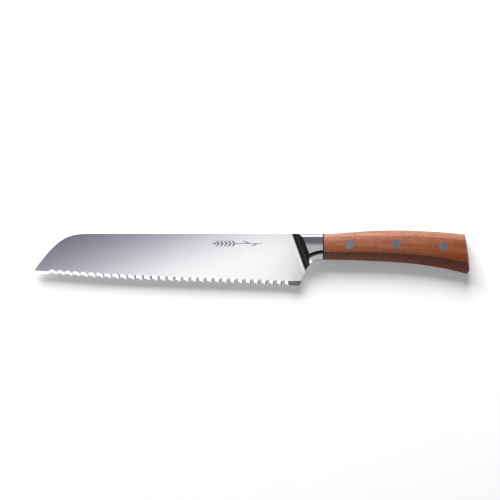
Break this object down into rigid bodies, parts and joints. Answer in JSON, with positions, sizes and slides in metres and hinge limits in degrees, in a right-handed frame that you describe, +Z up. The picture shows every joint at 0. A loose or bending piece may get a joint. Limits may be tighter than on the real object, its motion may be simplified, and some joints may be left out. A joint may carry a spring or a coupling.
{
  "type": "bread knife",
  "caption": "Bread knife with a scalloped steel blade on a full tang, a polished two-part bolster and a riveted reddish hardwood handle.",
  "frame": {"origin": "on the surface the knife lies on, under the centre of the bounding box of its outline (knife on its right-hand side)", "axes": "+X along the knife towards the butt, +Y from the cutting edge towards the spine, +Z up through the thickness, towards the left-hand side of the knife, where the scallops are ground"},
  "size_m": [0.3375, 0.0429, 0.0176],
  "materials": {
    "blade_steel": "satin stainless steel",
    "bolster_steel": "mirror-polished stainless steel",
    "rivet_steel": "ground flush, fine scratches",
    "handle_wood": "oiled reddish hardwood",
    "spacer_fibre": "black vulcanised fibre"
  },
  "bodies": {
    "root": {"blade": "blade_steel", "bolster_left": "bolster_steel", "bolster_right": "bolster_steel", "spacer_left": "spacer_fibre", "spacer_right": "spacer_fibre", "handle_scale_left": "handle_wood", "handle_scale_right": "handle_wood", "rivet_front_sleeve": "rivet_steel", "rivet_front_post": "rivet_steel", "rivet_middle_sleeve": "rivet_steel", "rivet_middle_post": "rivet_steel", "rivet_rear_sleeve": "rivet_steel", "rivet_rear_post": "rivet_steel"}
  },
  "joints": []
}
